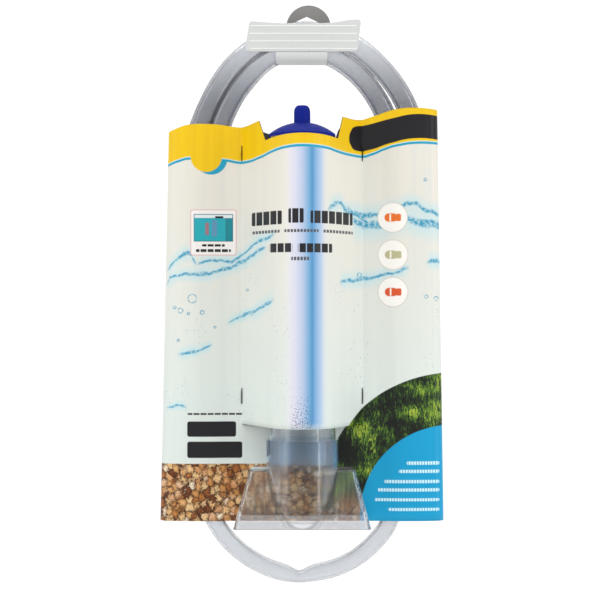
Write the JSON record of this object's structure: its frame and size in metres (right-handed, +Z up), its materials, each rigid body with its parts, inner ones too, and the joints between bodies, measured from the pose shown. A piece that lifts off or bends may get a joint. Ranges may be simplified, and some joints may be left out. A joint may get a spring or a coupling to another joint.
{
  "type": "gravel vacuum siphon",
  "caption": "Aquarium gravel siphon on its shop hanger: clear barrel, domed cap with hose tail and check valve, wide clear nozzle, looped hose and card sleeve.",
  "frame": {"origin": "top of the hang hole, where the peg bears, in the middle of the hang tab's thickness", "axes": "+Z up along the siphon, +X to the right seen from the front, +Y towards the back of the hang tab"},
  "size_m": [0.2177, 0.0713, 0.4473],
  "materials": {
    "hanger_plastic": "translucent milky",
    "tab_plastic": "satin",
    "hose_vinyl": "clear soft",
    "card": "printed gloss",
    "card_inside": "unprinted",
    "clear_plastic": "clear polished",
    "blue_plastic": "gloss",
    "valve_plastic": "moulded",
    "seal_rubber": "matte"
  },
  "bodies": {
    "hanger": {"hang_tab": "tab_plastic", "hose": "hose_vinyl"},
    "flap": {"hanger_flap": "hanger_plastic"},
    "sleeve": {"card_front": "card", "card_band": "card", "card_back": "card_inside"},
    "barrel": {"gravel_tube": "clear_plastic"},
    "nozzle": {"nozzle": "clear_plastic"},
    "cap": {"cap": "blue_plastic", "cap_seal": "seal_rubber", "valve_seat": "valve_plastic", "ball_cage": "valve_plastic"},
    "ball": {"valve_ball": "valve_plastic"}
  },
  "joints": [
    {"name": "flap_hinge", "type": "hinge", "parent": "hanger", "child": "flap", "pos_m": [0, -0.0159, -0.0296], "axis": [1, 0, 0], "range_deg": [0, 150]},
    {"name": "sleeve_slide", "type": "slide", "parent": "hanger", "child": "sleeve", "axis": [0, 0, -1], "range_m": [0, 0.37]},
    {"name": "barrel_slide", "type": "slide", "parent": "sleeve", "child": "barrel", "axis": [0, 0, -1], "range_m": [0, 0.242]},
    {"name": "cap_pull", "type": "slide", "parent": "barrel", "child": "cap", "axis": [0, 0, 1], "range_m": [0, 0.024]},
    {"name": "nozzle_pull", "type": "slide", "parent": "barrel", "child": "nozzle", "axis": [0, 0, -1], "range_m": [0, 0.02]},
    {"name": "ball_lift", "type": "slide", "parent": "cap", "child": "ball", "axis": [0, 0, 1], "range_m": [0, 0.006]}
  ]
}
